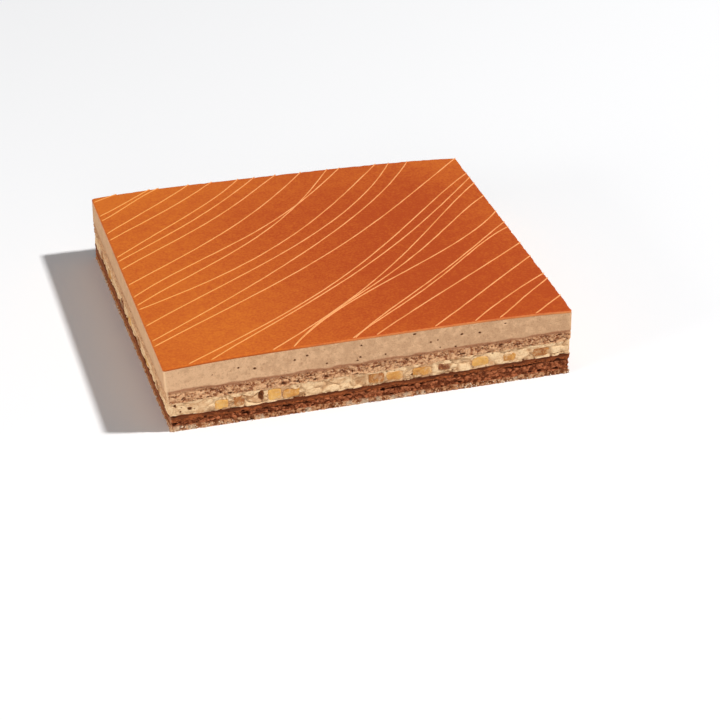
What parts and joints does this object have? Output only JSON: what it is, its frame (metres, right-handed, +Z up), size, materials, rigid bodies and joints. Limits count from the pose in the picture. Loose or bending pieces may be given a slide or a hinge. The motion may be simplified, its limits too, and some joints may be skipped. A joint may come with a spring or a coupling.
{
  "type": "pear caramel entremet",
  "caption": "Rectangular layered entremet: glazed and drizzled top over caramel mousse, almond sponge, cream with diced pear, chocolate, cocoa crunch and a pale crumb base.",
  "frame": {"origin": "middle of the footprint, on the surface the cake stands on", "axes": "+X along the front side, to the right; +Y from the front to the back; +Z up"},
  "size_m": [0.2658, 0.2476, 0.0483],
  "materials": {
    "caramel_glaze": "satin caramel glaze",
    "caramel_drizzle": "pale caramel drizzle",
    "caramel_mousse": "fine-pored mousse, knife cut",
    "almond_sponge": "soaked open sponge",
    "pear_cream": "pale cream, knife cut",
    "diced_pear": "moist caramelised pear",
    "chocolate": "smooth cut chocolate layer",
    "cocoa_crunch": "rough cocoa crumb",
    "pale_crumb": "pale loose crumb"
  },
  "bodies": {
    "root": {"caramel_glaze": "caramel_glaze", "caramel_mousse": "caramel_mousse", "almond_sponge": "almond_sponge", "pear_cream": "pear_cream", "chocolate_layer": "chocolate", "cocoa_crunch": "cocoa_crunch", "crumb_base": "pale_crumb", "pear_die_01_front": "diced_pear", "pear_die_02_front": "diced_pear", "pear_die_03_front": "diced_pear", "pear_die_04_front": "diced_pear", "pear_die_05_front": "diced_pear", "pear_die_06_front": "diced_pear", "pear_die_07_front": "diced_pear", "pear_die_08_front": "diced_pear", "pear_die_09_front": "diced_pear", "pear_die_10_front": "diced_pear", "pear_die_11_front": "diced_pear", "pear_die_12_left": "diced_pear", "pear_die_13_left": "diced_pear", "pear_die_14_left": "diced_pear", "pear_die_15_left": "diced_pear", "pear_die_16_left": "diced_pear", "pear_die_17_left": "diced_pear", "pear_die_18_left": "diced_pear", "pear_die_19_back": "diced_pear", "pear_die_20_back": "diced_pear", "pear_die_21_back": "diced_pear", "pear_die_22_back": "diced_pear", "pear_die_23_back": "diced_pear", "pear_die_24_back": "diced_pear", "pear_die_25_back": "diced_pear", "pear_die_26_back": "diced_pear", "pear_die_27_back": "diced_pear", "pear_die_28_right": "diced_pear", "pear_die_29_right": "diced_pear", "pear_die_30_right": "diced_pear", "pear_die_31_right": "diced_pear", "pear_die_32_right": "diced_pear", "pear_die_33_right": "diced_pear", "pear_die_34_right": "diced_pear", "pear_die_35_right": "diced_pear"}
  },
  "joints": []
}
